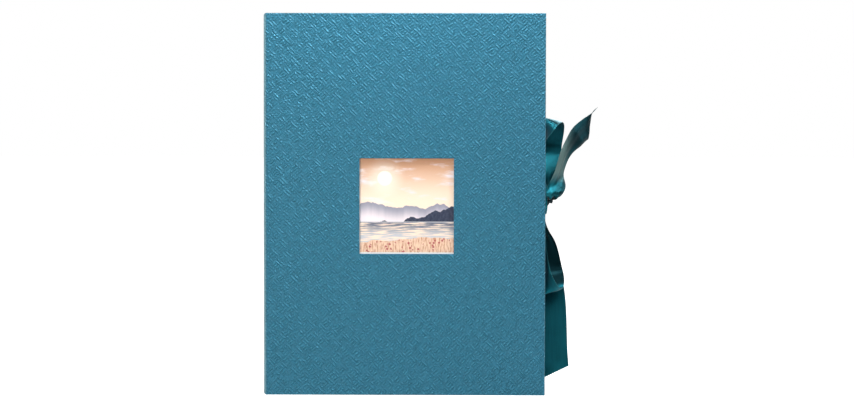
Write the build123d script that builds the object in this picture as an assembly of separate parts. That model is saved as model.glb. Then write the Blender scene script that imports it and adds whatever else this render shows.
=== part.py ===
"""Book-style photo storage box: a hinged case round a glued tray, closed with a ribbon bow.

The box stands on its tail edges. X runs from the spine to the fore-edge, Y from the front
cover to the back cover, Z from tail to head. The origin is the middle of the back cover's
tail edge. All sizes are in millimetres.
"""

import os

from build123d import *

# ---- driving dimensions ----
cover_width = 243.5  # spine face to fore-edge
cover_height = 330.0  # tail to head
box_depth = 52.0  # outside of the front cover to outside of the back cover

board = 2.5  # greyboard of the case
paper = 0.35  # covering paper
turn_in = 15.0  # covering paper turned over the board's edges
lining = 0.3  # lining paper of the case
square = 3.0  # how far the covers stand out past the tray and the linings
fold_radius = 0.6  # covering paper's rounding along a board's edge

hinge_clearance = 0.5  # between the inner faces of cover and spine at the joint
hinge_axis_inset = 0.6  # the cover turns about a line this far inside the outer corner
hinge_cloth = 0.4  # linen strip behind the covering paper at the joint
hinge_end_radius = 2.5  # rounding of the joints and the spine at head and tail

window_width = 81.5
window_height = 82.5
window_side_shift = 1.9  # window's middle, from the cover's middle towards the fore-edge
window_middle_height = 163.6
window_turn_in = 10.0
window_lining_step = 3.0  # the lining stops this far outside the window

print_width = 95.0
print_height = 95.0
print_thickness = 0.3
pocket_side_clearance = 0.5
pocket_front_clearance = 0.1
pocket_strip = 9.0  # width of the pocket's U-shaped spacer
pocket_strip_thickness = 0.6
pocket_back_thickness = 0.8
thumb_notch_radius = 11.0

tray_board = 2.0
tray_wrap = 0.3  # paper round the tray's walls
tray_lining = 0.3
rim_gap = 1.0  # tray's rim to the front cover's lining
tray_turn_under = 12.0
tray_turn_down = 15.0
lining_below_rim = 4.0
corner_tape = 0.15
corner_tape_arm = 20.0

ribbon_width = 25.0
ribbon_thickness = 0.4
ribbon_height = 169.5  # middle of the ribbons on the fore-edge
ribbon_under_lining = 13.0
ribbon_bend_radius = 1.1
knot_width = 8.0
knot_height = 9.0
knot_depth = 9.0
knot_edge_radius = 3.0
knot_split = 0.6  # space between the two ribbons' halves of the knot
knot_right = 7.0  # knot's middle, from the tray's wall


def block(x, y, z):
    """Box between two x, two y and two z."""
    size = Box(x[1] - x[0], y[1] - y[0], z[1] - z[0])
    return Pos((x[0] + x[1]) / 2, (y[0] + y[1]) / 2, (z[0] + z[1]) / 2) * size


# ---- places worked out from the sizes ----
spine_x = -cover_width / 2
fore_x = cover_width / 2
turned_edge = 2 * paper + board  # board with paper on both faces
cover_thickness = turned_edge + lining
back_y = turned_edge / 2
front_y = back_y - box_depth
front_board_y = front_y + paper
front_inner_y = front_y + turned_edge  # under the front lining
front_lining_y = front_inner_y + lining
back_inner_y = back_y - turned_edge
back_lining_y = back_inner_y - lining
joint = cover_thickness + hinge_clearance  # outer radius of the rounded joint
joint_x = spine_x + joint
joint_front_y = front_y + joint
joint_back_y = back_y - joint
spine_inner_x = spine_x + turned_edge
spine_lining_x = spine_inner_x + lining
middle_y = (front_lining_y + back_lining_y) / 2
half_gap = (back_lining_y - front_lining_y) / 2

tray_x = (spine_lining_x, fore_x - square)
tray_z = (square, cover_height - square)
tray_back_y = back_lining_y
tray_rim_y = front_lining_y + rim_gap
wall_x = (tray_x[0] + tray_wrap, tray_x[1] - tray_wrap)
wall_z = (tray_z[0] + tray_wrap, tray_z[1] - tray_wrap)
inner_x = (wall_x[0] + tray_board, wall_x[1] - tray_board)
inner_z = (wall_z[0] + tray_board, wall_z[1] - tray_board)
floor_back_y = tray_back_y - tray_wrap
floor_front_y = floor_back_y - tray_board
wall_rim_y = tray_rim_y + tray_wrap

window_x = (
    window_side_shift - window_width / 2,
    window_side_shift + window_width / 2,
)
window_z = (
    window_middle_height - window_height / 2,
    window_middle_height + window_height / 2,
)


def grown(span, amount):
    """The span widened by the amount at both ends."""
    return span[0] - amount, span[1] + amount


# ---- case: boards with turned-in covering paper ----
def panel_lining(x, z, pad_x, pad_z, inner, outward):
    """Lining sheet on a covered board: it also fills the space inside the turn-ins."""
    sheet = block(x, sorted((inner, inner + outward * lining)), z)
    pad = block(pad_x, sorted((inner, inner - outward * paper)), pad_z)
    return sheet + pad


def ribbon_seat(inner, outward):
    """Space of a ribbon's glued end, let into the cover under the lining's edge."""
    x = (fore_x - square - ribbon_under_lining, fore_x)
    y = sorted((inner, inner - outward * ribbon_thickness))
    return block(x, y, grown((ribbon_height, ribbon_height), ribbon_width / 2))


def front_cover_parts():
    """Front board, its covering paper and its lining, all with the window."""
    board_z = (paper, cover_height - paper)
    board_x = (joint_x, fore_x - paper)
    board_y = (front_board_y, front_board_y + board)
    pad_x = (joint_x, fore_x - turn_in)
    pad_z = (turn_in, cover_height - turn_in)
    pad_y = (board_y[1], front_inner_y)
    seat = ribbon_seat(front_inner_y, 1)

    paper_hole = block(window_x, (front_y, front_lining_y), window_z)
    board_hole = block(grown(window_x, paper), board_y, grown(window_z, paper))
    flap_x = grown(window_x, window_turn_in)
    flap_z = grown(window_z, window_turn_in)
    front_board = block(board_x, board_y, board_z) - board_hole - seat
    sheet = block((joint_x, fore_x), (front_y, front_inner_y), (0, cover_height))
    sheet -= paper_hole
    outer = sheet.faces().sort_by(Axis.Y)[0]
    folded = [e for e in outer.edges() if e.center().X > joint_x + paper]
    sheet = fillet(folded, fold_radius)
    pad = block(pad_x, pad_y, pad_z) - block(flap_x, pad_y, flap_z)
    front_paper = sheet - front_board - pad - seat

    lining_hole = block(
        grown(window_x, window_lining_step),
        (pad_y[0], front_lining_y),
        grown(window_z, window_lining_step),
    )
    lining_x = (joint_x, fore_x - square)
    lining_z = (square, cover_height - square)
    lined = panel_lining(lining_x, lining_z, pad_x, pad_z, front_inner_y, 1)
    lined = lined - block(flap_x, pad_y, flap_z) - lining_hole - seat
    return front_board, front_paper, lined


def back_cover_parts():
    """Back board, its covering paper and its lining."""
    board_z = (paper, cover_height - paper)
    board_x = (joint_x, fore_x - paper)
    board_y = (back_inner_y + paper, back_y - paper)
    pad_x = (joint_x, fore_x - turn_in)
    pad_z = (turn_in, cover_height - turn_in)
    pad_y = (back_inner_y, board_y[0])
    seat = ribbon_seat(back_inner_y, -1)
    back_board = block(board_x, board_y, board_z) - seat
    sheet = block((joint_x, fore_x), (back_inner_y, back_y), (0, cover_height))
    outer = sheet.faces().sort_by(Axis.Y)[-1]
    folded = [e for e in outer.edges() if e.center().X > joint_x + paper]
    sheet = fillet(folded, fold_radius)
    back_paper = sheet - back_board - block(pad_x, pad_y, pad_z) - seat
    lining_x = (joint_x, fore_x - square)
    lining_z = (square, cover_height - square)
    lined = panel_lining(lining_x, lining_z, pad_x, pad_z, back_inner_y, -1) - seat
    return back_board, back_paper, lined


def rounded_spine_side(x, y, z, end_radius):
    """Box with its two long corners at the spine face rounded."""
    outline = block(x, y, z)
    return fillet(outline.edges().filter_by(Axis.Y).group_by(Axis.X)[0], end_radius)


def joint_strip(outer_radius, thickness, middle_y, z, end_radius):
    """Quarter-round strip along an outer corner of the spine, rounded at head and tail."""
    side = 1 if middle_y > 0.5 * (front_y + back_y) else -1
    middle = Pos(joint_x, middle_y)
    ring = middle * (Circle(outer_radius) - Circle(outer_radius - thickness))
    reach = Rectangle(outer_radius, outer_radius, align=(Align.MAX, Align.MIN))
    if side < 0:
        reach = Rectangle(outer_radius, outer_radius, align=(Align.MAX, Align.MAX))
    strip = extrude(ring & (middle * reach), amount=z[1] - z[0])
    ends = (joint_x - outer_radius, joint_x + joint)
    outline = rounded_spine_side(ends, grown((front_y, back_y), joint), z, end_radius)
    return (Pos(0, 0, z[0]) * strip) & outline


def spine_parts():
    """Spine board, its covering paper with the fixed back joint, and its lining."""
    board_z = (paper, cover_height - paper)
    board_x = (spine_x + paper, spine_x + paper + board)
    flat_y = (joint_front_y, joint_back_y)
    pad_z = (turn_in, cover_height - turn_in)
    pad_x = (board_x[1], spine_inner_x)
    z = (0, cover_height)
    board_corner = hinge_end_radius - paper
    spine_board = rounded_spine_side(board_x, flat_y, board_z, board_corner)
    sheet_x = (spine_x, spine_inner_x)
    sheet = rounded_spine_side(sheet_x, flat_y, z, hinge_end_radius)
    sheet = sheet - spine_board - block(pad_x, flat_y, pad_z)
    back_joint = joint_strip(joint, paper, joint_back_y, z, hinge_end_radius)
    lining_z = (square, cover_height - square)
    lined = block((spine_inner_x, spine_lining_x), flat_y, lining_z)
    lined = lined + block(pad_x, flat_y, pad_z)
    return spine_board, sheet + back_joint, lined


def hinge_parts():
    """Paper and linen that bend at the front joint."""
    z = (0, cover_height)
    hinge_paper = joint_strip(joint, paper, joint_front_y, z, hinge_end_radius)
    linen_z = (paper, cover_height - paper)
    linen = joint_strip(
        joint - paper, hinge_cloth, joint_front_y, linen_z, hinge_end_radius - paper
    )
    return hinge_paper, linen


# ---- picture pocket behind the window ----
print_x = (
    window_side_shift - print_width / 2,
    window_side_shift + print_width / 2,
)
print_z = (
    window_middle_height - print_height / 2,
    window_middle_height + print_height / 2,
)


def pocket_parts():
    """U-shaped spacer, pocket back with its thumb notch, and the print."""
    strip_y = (front_lining_y, front_lining_y + pocket_strip_thickness)
    back_plane = (strip_y[1], strip_y[1] + pocket_back_thickness)
    slot_x = grown(print_x, pocket_side_clearance)
    outer_x = grown(slot_x, pocket_strip)
    outer_z = (print_z[0] - pocket_strip, print_z[1])
    spacer = block(outer_x, strip_y, outer_z)
    spacer -= block(slot_x, strip_y, (print_z[0], outer_z[1]))
    back = block(outer_x, back_plane, outer_z)
    notch = Pos(window_side_shift, back_plane[0], outer_z[1]) * Rot(-90, 0, 0)
    notch *= Cylinder(
        thumb_notch_radius,
        pocket_back_thickness,
        align=(Align.CENTER, Align.CENTER, Align.MIN),
    )
    print_y = front_lining_y + pocket_front_clearance
    photo = block(print_x, (print_y, print_y + print_thickness), print_z)
    return spacer, back - notch, photo


# ---- tray ----
def frame_of(x, z, thickness, y):
    """Rectangular ring of a thickness inside the spans x and z."""
    inside = block(grown(x, -thickness), y, grown(z, -thickness))
    return block(x, y, z) - inside


def tray_boards():
    """Floor and the four walls that stand on it."""
    wall_y = (wall_rim_y, floor_front_y)
    floor = block(wall_x, (floor_front_y, floor_back_y), wall_z)
    return {
        "tray_floor": floor,
        "tray_head_wall": block(wall_x, wall_y, (inner_z[1], wall_z[1])),
        "tray_tail_wall": block(wall_x, wall_y, (wall_z[0], inner_z[0])),
        "tray_fore_edge_wall": block((inner_x[1], wall_x[1]), wall_y, inner_z),
        "tray_spine_wall": block((wall_x[0], inner_x[0]), wall_y, inner_z),
    }


def corner_tapes():
    """Gummed tape round each outer corner of the tray's walls."""
    y = (wall_rim_y, floor_back_y)
    shell = frame_of(grown(wall_x, corner_tape), grown(wall_z, corner_tape), corner_tape, y)
    tapes = []
    for x_end in (0, 1):
        for z_end in (0, 1):
            corner_x = wall_x[x_end]
            corner_z = wall_z[z_end]
            near = block(
                grown((corner_x, corner_x), corner_tape_arm),
                y,
                grown((corner_z, corner_z), corner_tape_arm),
            )
            tapes.append(shell & near)
    return tapes


def tray_papers(tapes):
    """Paper round the walls, and the linings of the walls and the floor."""
    around = frame_of(tray_x, tray_z, tray_wrap, (tray_rim_y, tray_back_y))
    for tape in tapes:
        around -= tape
    under_y = (floor_back_y, tray_back_y)
    under = frame_of(tray_x, tray_z, tray_turn_under, under_y)
    rim_y = (tray_rim_y, wall_rim_y)
    rim_width = tray_wrap + tray_board + tray_wrap
    rim = frame_of(tray_x, tray_z, rim_width, rim_y)
    down_y = (tray_rim_y, wall_rim_y + tray_turn_down)
    down = frame_of(inner_x, inner_z, tray_wrap, down_y)
    wrap = around + under + rim + down

    floor_lining = block(inner_x, (floor_front_y - tray_lining, floor_front_y), inner_z)
    lining_y = (tray_rim_y + lining_below_rim, floor_front_y - tray_lining)
    wall_lining = frame_of(inner_x, inner_z, tray_wrap + tray_lining, lining_y)
    return wrap, wall_lining - down, floor_lining


# ---- ribbons ----
# A ribbon's lay is given at stations. Each has the edge nearer the tray as (right of the
# tray's wall, forward as a share of half the space between the covers, above the knot),
# and then the other edge from it: across and up in ribbon widths, and its own forward share.
knot_x = tray_x[1] + knot_right
knot_y = middle_y


def edge_pair(station):
    """The two edge points of a ribbon at one station."""
    right, forward, up, across, climb, far_forward = station
    near = Vector(tray_x[1] + right, middle_y - forward * half_gap, ribbon_height + up)
    far = Vector(
        near.X + across * ribbon_width,
        middle_y - far_forward * half_gap,
        near.Z + climb * ribbon_width,
    )
    return near, far


def thin_band(pairs, tangents):
    """Ribbon between two lines of edge points, as a thin solid of four ruled faces."""
    rims = []
    for (near, far), along in zip(pairs, tangents):
        offset = along.cross(far - near).normalized() * (ribbon_thickness / 2)
        rims.append([near - offset, far - offset, far + offset, near + offset])
    lines = [Edge.make_spline([rim[n] for rim in rims]) for n in range(4)]
    faces = [Face.make_surface_from_curves(lines[n - 1], lines[n]) for n in range(4)]
    ends = [Face(Wire.make_polygon(rim, close=True)) for rim in (rims[0], rims[-1])]
    return Solid(Shell(faces + ends))


def band(stations):
    """Ribbon through its stations, at right angles to the line of their middles."""
    pairs = [edge_pair(station) for station in stations]
    middles = [(near + far) / 2 for near, far in pairs]
    last = len(pairs) - 1
    tangents = [
        middles[min(n + 1, last)] - middles[max(n - 1, 0)] for n in range(last + 1)
    ]
    return thin_band(pairs, tangents)


upper_loop = [
    (4.0, 0.10, 1.0, 0.22, 0.00, 0.14),
    (2.6, 0.00, 9.0, 0.34, 0.00, -0.04),
    (1.5, -0.20, 18.5, 0.52, 0.00, -0.30),
    (1.0, -0.43, 28.0, 0.67, -0.01, -0.57),
    (0.8, -0.63, 36.5, 0.72, 0.00, -0.78),
    (0.8, -0.78, 46.0, 0.75, 0.00, -0.90),
    (1.0, -0.64, 60.5, 0.80, -0.08, -0.58),
    (0.9, -0.28, 71.0, 0.71, -0.16, 0.12),
    (0.8, -0.10, 67.5, 0.48, -0.18, 0.66),
    (0.8, -0.12, 59.0, 0.28, -0.10, 0.83),
    (0.8, -0.15, 48.0, 0.12, 0.08, 0.88),
    (0.9, -0.10, 36.0, 0.08, 0.08, 0.87),
    (1.6, 0.12, 21.0, 0.05, 0.02, 0.78),
    (2.8, 0.24, 10.0, 0.05, 0.00, 0.56),
    (4.4, 0.22, 1.5, 0.06, 0.00, 0.38),
]
upper_tail = [
    (4.8, 0.28, 0.5, 0.18, 0.00, 0.30),
    (4.2, 0.66, 1.4, 0.34, 0.00, 0.60),
    (3.5, 1.06, 3.6, 0.54, 0.03, 0.90),
    (4.0, 0.95, 8.9, 0.66, 0.05, 0.74),
    (9.5, 0.92, 20.5, 0.40, 0.00, 0.54),
    (14.0, 0.82, 33.5, 0.35, 0.02, 0.28),
    (17.0, 0.76, 43.4, 0.40, -0.11, 0.20),
    (21.3, 0.72, 52.5, 0.48, -0.28, 0.22),
    (26.5, 0.70, 61.6, 0.42, -0.50, 0.30),
    (32.8, 0.70, 67.7, 0.28, -0.64, 0.36),
    (37.9, 0.72, 71.2, 0.13, -0.74, 0.42),
    (40.3, 0.74, 72.8, 0.05, -0.57, 0.52),
    (42.4, 0.76, 74.1, 0.00, -0.35, 0.62),
    (44.1, 0.78, 75.3, -0.02, -0.07, 0.75),
    (48.3, 0.78, 79.9, -0.01, -0.02, 0.78),
]
lower_loop = [
    (4.4, -0.12, -1.5, 0.10, 0.00, -0.20),
    (1.8, -0.06, -9.0, 0.08, 0.00, 0.12),
    (0.8, 0.02, -17.5, 0.07, 0.00, 0.50),
    (0.8, -0.10, -33.0, 0.11, -0.06, 0.76),
    (0.8, -0.04, -51.0, 0.19, 0.00, 0.82),
    (0.8, 0.04, -62.0, 0.26, 0.10, 0.82),
    (0.8, 0.14, -75.0, 0.43, 0.19, 0.74),
    (0.8, 0.26, -83.0, 0.69, 0.19, 0.30),
    (1.0, -0.16, -74.2, 0.81, 0.13, -0.26),
    (1.0, -0.46, -62.3, 0.76, 0.00, -0.54),
    (0.9, -0.56, -51.1, 0.67, 0.00, -0.60),
    (0.9, -0.60, -40.0, 0.49, 0.11, -0.56),
    (0.8, -0.54, -24.0, 0.13, 0.06, -0.30),
    (1.1, -0.40, -13.5, 0.06, 0.00, -0.20),
    (4.6, -0.28, -1.5, 0.08, 0.00, -0.20),
]
lower_tail = [
    (4.8, -0.34, -1.0, 0.08, 0.00, -0.30),
    (1.4, -0.62, -10.0, 0.06, 0.00, -0.46),
    (0.8, -0.94, -22.0, 0.07, 0.00, -0.72),
    (1.0, -0.98, -40.0, 0.32, 0.00, -0.92),
    (1.0, -0.88, -60.0, 0.66, -0.02, -0.90),
    (0.8, -0.54, -79.9, 0.85, -0.03, -0.68),
    (0.8, -0.14, -102.7, 0.91, -0.03, -0.32),
    (0.8, 0.20, -130.5, 0.93, -0.03, 0.00),
    (0.8, 0.46, -156.8, 0.96, 0.44, 0.26),
]


def lead_in(inner, outward):
    """Ribbon from under a cover's lining, round the bend and gathered into the knot."""
    level = inner - outward * ribbon_thickness / 2
    bend = ribbon_bend_radius
    half = ribbon_width / 2
    knot_face = knot_y - outward * (knot_split / 2 + knot_depth / 2)
    stations = [
        (fore_x, level, half, 1, 0),
        (fore_x + 0.7 * bend, level + outward * 0.3 * bend, half, 1, 1),
        (fore_x + bend, level + outward * bend, half, 0, 1),
        (fore_x + 1.2 * bend, level + outward * 4 * bend, 0.9 * half, 0.1, 1),
        (knot_x, knot_face, knot_height * 0.3, 0.2, 1),
    ]
    pairs = []
    tangents = []
    for x, y, reach, along_x, along_y in stations:
        low = Vector(x, y, ribbon_height - reach)
        pairs.append((low, Vector(x, y, ribbon_height + reach)))
        tangents.append(Vector(along_x, outward * along_y, 0))
    return thin_band(pairs, tangents)


def knot_half(outward):
    """One ribbon's turns in the knot, as a pillow on its own side of the split."""
    near = knot_y - outward * knot_split / 2
    far = near - outward * knot_depth
    x = grown((knot_x, knot_x), knot_width / 2)
    z = grown((ribbon_height, ribbon_height), knot_height / 2)
    pillow = block(x, sorted((near, far)), z)
    return fillet(pillow.edges(), knot_edge_radius).solid()


def ribbon(inner, outward, loop, tail):
    """A whole ribbon: glued end, lead-in, its half of the knot, its loop and its tail."""
    glued_end = ribbon_seat(inner, outward).solid()
    return knot_half(outward).fuse(
        lead_in(inner, outward), glued_end, band(loop), band(tail)
    )


# ---- the whole box ----
def parts():
    """Every node's solids by name."""
    made = {}
    made["front_board"], made["front_cover_paper"], made["front_lining"] = front_cover_parts()
    made["back_board"], made["back_cover_paper"], made["back_lining"] = back_cover_parts()
    made["spine_board"], made["spine_paper"], made["spine_lining"] = spine_parts()
    made["hinge_paper"], made["hinge_cloth"] = hinge_parts()
    made["pocket_spacer"], made["pocket_back"], made["photo_print"] = pocket_parts()
    made.update(tray_boards())
    tapes = corner_tapes()
    made["tray_corner_tapes"] = Compound(children=[tape.solid() for tape in tapes])
    made["tray_wrap"], made["tray_wall_lining"], made["tray_floor_lining"] = tray_papers(tapes)
    made["front_ribbon"] = ribbon(front_inner_y, 1, upper_loop, upper_tail)
    made["back_ribbon"] = ribbon(back_inner_y, -1, lower_loop, lower_tail)
    return made


os.makedirs("parts", exist_ok=True)
for name, shape in parts().items():
    export_step(shape, f"parts/{name}.step")
    print(name, len(shape.solids()), round(shape.volume, 2))
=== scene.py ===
import math

import bmesh
import bpy
import numpy as np
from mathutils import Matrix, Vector


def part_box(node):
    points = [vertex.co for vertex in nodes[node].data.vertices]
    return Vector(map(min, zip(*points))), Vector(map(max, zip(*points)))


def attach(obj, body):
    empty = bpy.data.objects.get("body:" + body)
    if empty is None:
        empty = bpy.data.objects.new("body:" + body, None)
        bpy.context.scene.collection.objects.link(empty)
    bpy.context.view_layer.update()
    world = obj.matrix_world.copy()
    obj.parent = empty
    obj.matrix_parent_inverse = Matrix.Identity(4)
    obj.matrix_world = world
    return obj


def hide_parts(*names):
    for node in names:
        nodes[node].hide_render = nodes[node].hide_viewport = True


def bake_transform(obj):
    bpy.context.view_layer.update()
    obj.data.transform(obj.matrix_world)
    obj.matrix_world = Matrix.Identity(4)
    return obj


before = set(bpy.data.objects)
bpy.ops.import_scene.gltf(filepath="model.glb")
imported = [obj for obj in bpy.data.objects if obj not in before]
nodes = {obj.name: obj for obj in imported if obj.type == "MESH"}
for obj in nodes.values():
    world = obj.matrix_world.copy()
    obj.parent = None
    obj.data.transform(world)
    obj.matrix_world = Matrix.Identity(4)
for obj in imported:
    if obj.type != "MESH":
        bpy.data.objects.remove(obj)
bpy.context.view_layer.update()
mm = 0.001
bpy.ops.object.select_all(action="DESELECT")
print("frame loaded:", len(nodes), "nodes")


# camera and lamps
shot = {
    "lens": 80,
    "sensor": 36,
    "place": (0.0375, -1.687, 0.2175),
    "turn": (88.155, -0.111, 0.632),
    "farthest": 30,
}
lens = bpy.data.cameras.new("camera")
lens.lens = shot["lens"]
lens.sensor_width = shot["sensor"]
lens.clip_end = shot["farthest"]
camera = bpy.data.objects.new("camera", lens)
camera.location = shot["place"]
camera.rotation_euler = [math.radians(angle) for angle in shot["turn"]]
bpy.context.scene.collection.objects.link(camera)
bpy.context.scene.camera = camera
bpy.context.scene.view_settings.view_transform = "Standard"

lamps = {
    # name: place, what it points at, width and height in metres, watts, colour
    "rakingStrip": ((0.06, -0.12, 0.60), (0.0, -0.05, 0.24), (0.50, 0.05), 2.6, (0.95, 0.98, 1.0)),
    "keySoftbox": ((0.44, -0.38, 0.78), (0.06, -0.05, 0.20), (0.26, 0.16), 2.8, (1, 1, 1)),
    "lowPanel": ((-0.42, -1.10, 0.11), (-0.06, -0.05, 0.08), (0.36, 0.18), 5.4, (1.0, 0.90, 0.82)),
    "leftPanel": ((-0.60, -0.22, 0.52), (0.0, -0.05, 0.26), (0.30, 0.30), 1.0, (1.0, 0.98, 0.96)),
    "frontFill": ((0.15, -1.30, 0.75), (0.08, -0.05, 0.14), (0.60, 0.40), 1.7, (1, 1, 1)),
    "backPanel": ((0.9, 1.6, 1.2), (0.0, 0.0, 0.16), (1.2, 1.0), 22.0, (1, 1, 1)),
}
for lampName, (place, target, size, watts, tint) in lamps.items():
    lamp = bpy.data.lights.new(lampName, "AREA")
    lamp.shape = "RECTANGLE"
    lamp.size, lamp.size_y = size
    lamp.energy = watts
    lamp.color = tint
    lampObject = bpy.data.objects.new(lampName, lamp)
    lampObject.location = place
    aim = Vector(target) - Vector(place)
    lampObject.rotation_euler = aim.to_track_quat("-Z", "Y").to_euler()
    bpy.context.scene.collection.objects.link(lampObject)


# node helpers
def colour(red, green, blue):  # as a screen shows it, 0 to 255
    return tuple(
        c / 12.92 if c <= 0.04045 else ((c + 0.055) / 1.055) ** 2.4
        for c in (red / 255, green / 255, blue / 255)
    ) + (1.0,)


def put(tree, kind, values=None, **settings):
    node = tree.nodes.new("ShaderNode" + kind)
    for name, value in settings.items():
        setattr(node, name, value)
    for key, value in (values or {}).items():
        if isinstance(value, bpy.types.NodeSocket):
            tree.links.new(value, node.inputs[key])
        else:
            node.inputs[key].default_value = value
    return node


def calc(tree, operation, *values):
    return put(tree, "Math", dict(enumerate(values)), operation=operation).outputs[0]


def ramp(tree, value, low, high, first=0.0, last=1.0):
    values = {
        "Value": value,
        "From Min": low,
        "From Max": high,
        "To Min": first,
        "To Max": last,
    }
    return put(tree, "MapRange", values, interpolation_type="SMOOTHSTEP").outputs[0]


def mixColour(tree, share, first, second, mode="MIX"):
    values = {0: share, 6: first, 7: second}
    mixed = put(tree, "Mix", values, data_type="RGBA", blend_type=mode)
    return mixed.outputs[2]


def noise(tree, vector, scale, detail=2.0, roughness=0.5):
    values = {
        "Vector": vector,
        "Scale": scale,
        "Detail": detail,
        "Roughness": roughness,
    }
    return put(tree, "TexNoise", values).outputs[0]


def stretched(tree, vector, scale):
    return put(tree, "Mapping", {"Vector": vector, "Scale": scale}).outputs[0]


def split(tree, vector):
    return put(tree, "SeparateXYZ", {0: vector}).outputs


def newGroup(name, inputs, outputs):
    group = bpy.data.node_groups.new(name, "ShaderNodeTree")
    for label, kind, value in inputs:
        socket = group.interface.new_socket(
            label, in_out="INPUT", socket_type="NodeSocket" + kind
        )
        if value is not None:
            socket.default_value = value
    for label in outputs:
        group.interface.new_socket(
            label, in_out="OUTPUT", socket_type="NodeSocketFloat"
        )
    given = group.nodes.new("NodeGroupInput").outputs
    results = group.nodes.new("NodeGroupOutput").inputs
    return group, given, results


def useGroup(tree, group, values):
    node = tree.nodes.new("ShaderNodeGroup")
    node.node_tree = group
    for key, value in values.items():
        if isinstance(value, bpy.types.NodeSocket):
            tree.links.new(value, node.inputs[key])
        else:
            node.inputs[key].default_value = value
    return node.outputs


def newMaterial(name, **plain):
    material = bpy.data.materials.new(name)
    material.use_nodes = True
    tree = material.node_tree
    shader = tree.nodes["Principled BSDF"]
    for key, value in plain.items():
        shader.inputs[key].default_value = value
    return material, tree, shader


def finishWith(tree, shader, base=None, rough=None, height=None, depth=0.0001):
    if base is not None:
        tree.links.new(base, shader.inputs["Base Color"])
    if rough is not None:
        tree.links.new(rough, shader.inputs["Roughness"])
    if height is not None:
        bump = put(tree, "Bump", {"Height": height, "Distance": depth})
        tree.links.new(bump.outputs[0], shader.inputs["Normal"])


# floor and surroundings
stageLook = {"floorSize": 60, "floorGlow": 1.0, "worldLight": 0.17}
bpy.ops.mesh.primitive_plane_add(size=stageLook["floorSize"], location=(0, 0, 0))
floor = bpy.context.active_object
floor.name = "floor"
floorMaterial, tree, shader = newMaterial("paleFloor", Roughness=0.9)
shader.inputs["Base Color"].default_value = (0.6, 0.6, 0.6, 1)
seen = put(tree, "LightPath").outputs["Is Camera Ray"]
shader.inputs["Emission Color"].default_value = (1, 1, 1, 1)
tree.links.new(
    calc(tree, "MULTIPLY", seen, stageLook["floorGlow"]),
    shader.inputs["Emission Strength"],
)
floor.data.materials.append(floorMaterial)

world = bpy.data.worlds.new("whiteRoom")
bpy.context.scene.world = world
world.use_nodes = True
tree = world.node_tree
seen = put(tree, "LightPath").outputs["Is Camera Ray"]
tree.links.new(
    ramp(tree, seen, 0.0, 1.0, stageLook["worldLight"], 1.0),
    tree.nodes["Background"].inputs["Strength"],
)
tree.nodes["Background"].inputs["Color"].default_value = (1, 1, 1, 1)
print("camera, floor and lamps are set")


# effects that several materials share
def makeBasketEmboss():  # strands woven on the slant, in bricks of two by one
    group, given, results = newGroup(
        "basketEmboss",
        [("Vector", "Vector", None), ("Strand Pair", "Float", 4.7 * mm)],
        ["Height", "Lean"],
    )
    pair = given["Strand Pair"]
    stray = put(
        group,
        "TexNoise",
        {"Vector": given["Vector"], "Scale": 55.0, "Detail": 1.0},
    ).outputs["Color"]
    centred = put(
        group, "VectorMath", {0: stray, 1: (0.5, 0.5, 0.5)}, operation="SUBTRACT"
    ).outputs[0]
    moved = put(
        group,
        "VectorMath",
        {0: centred, 1: (0.0022, 0.0022, 0.0022), 2: given["Vector"]},
        operation="MULTIPLY_ADD",
    ).outputs[0]
    x, y, z = split(group, moved)
    level = calc(group, "ADD", x, y)
    rising = calc(group, "DIVIDE", calc(group, "ADD", level, z), pair)
    falling = calc(group, "DIVIDE", calc(group, "SUBTRACT", level, z), pair)
    rising = calc(group, "MULTIPLY", rising, math.sqrt(0.5))
    falling = calc(group, "MULTIPLY", falling, math.sqrt(0.5))
    halfFalling = calc(group, "MULTIPLY", falling, 0.5)
    row = calc(group, "FLOOR", rising)
    column = calc(group, "FLOOR", halfFalling)
    turned = calc(group, "PINGPONG", calc(group, "ADD", row, column), 1.0)

    def strand(across, along, sharp):
        wave = calc(group, "ABSOLUTE", calc(group, "SINE", across))
        wave = calc(group, "POWER", wave, sharp)
        end = calc(group, "SINE", along)
        end = calc(group, "POWER", calc(group, "ABSOLUTE", end), 0.5)
        return calc(group, "MULTIPLY", wave, end)

    twoPi = 2 * math.pi
    falls = strand(
        calc(group, "MULTIPLY", rising, twoPi),
        calc(group, "MULTIPLY", halfFalling, math.pi),
        1.5,
    )
    rises = strand(
        calc(group, "MULTIPLY", falling, twoPi),
        calc(group, "MULTIPLY", rising, math.pi),
        1.7,
    )

    def uneven(across, brick, wave):  # each strand is pressed a little differently
        strandNumber = calc(group, "FLOOR", calc(group, "MULTIPLY", across, 2.0))
        spot = put(group, "CombineXYZ", {0: strandNumber, 1: brick, 2: turned})
        chance = put(group, "TexWhiteNoise", {"Vector": spot.outputs[0]}).outputs[0]
        return calc(group, "MULTIPLY", wave, calc(group, "MULTIPLY_ADD", chance, 0.5, 0.5))

    falls = uneven(rising, column, falls)
    rises = uneven(falling, row, rises)
    mixed = put(group, "Mix", {0: turned, 2: falls, 3: rises}).outputs[0]
    broken = ramp(group, noise(group, given["Vector"], 520.0, 0.0), 0.3, 0.65, 0.25, 1.1)
    group.links.new(calc(group, "MULTIPLY", mixed, broken), results["Height"])
    group.links.new(turned, results["Lean"])
    return group


def makePaperGrain():  # cloudy fibres and fine specks
    group, given, results = newGroup(
        "paperGrain",
        [("Vector", "Vector", None), ("Speck Size", "Float", 0.9 * mm)],
        ["Specks", "Clouds", "Fibres"],
    )
    fine = calc(group, "DIVIDE", 1.0, given["Speck Size"])
    specks = noise(group, given["Vector"], fine, 2.0, 0.65)
    clouds = noise(group, given["Vector"], 26.0, 3.0, 0.55)
    fibres = noise(group, stretched(group, given["Vector"], (1, 1, 3.5)), 900.0, 2.0)
    for label, value in (("Specks", specks), ("Clouds", clouds), ("Fibres", fibres)):
        group.links.new(value, results[label])
    return group


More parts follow.
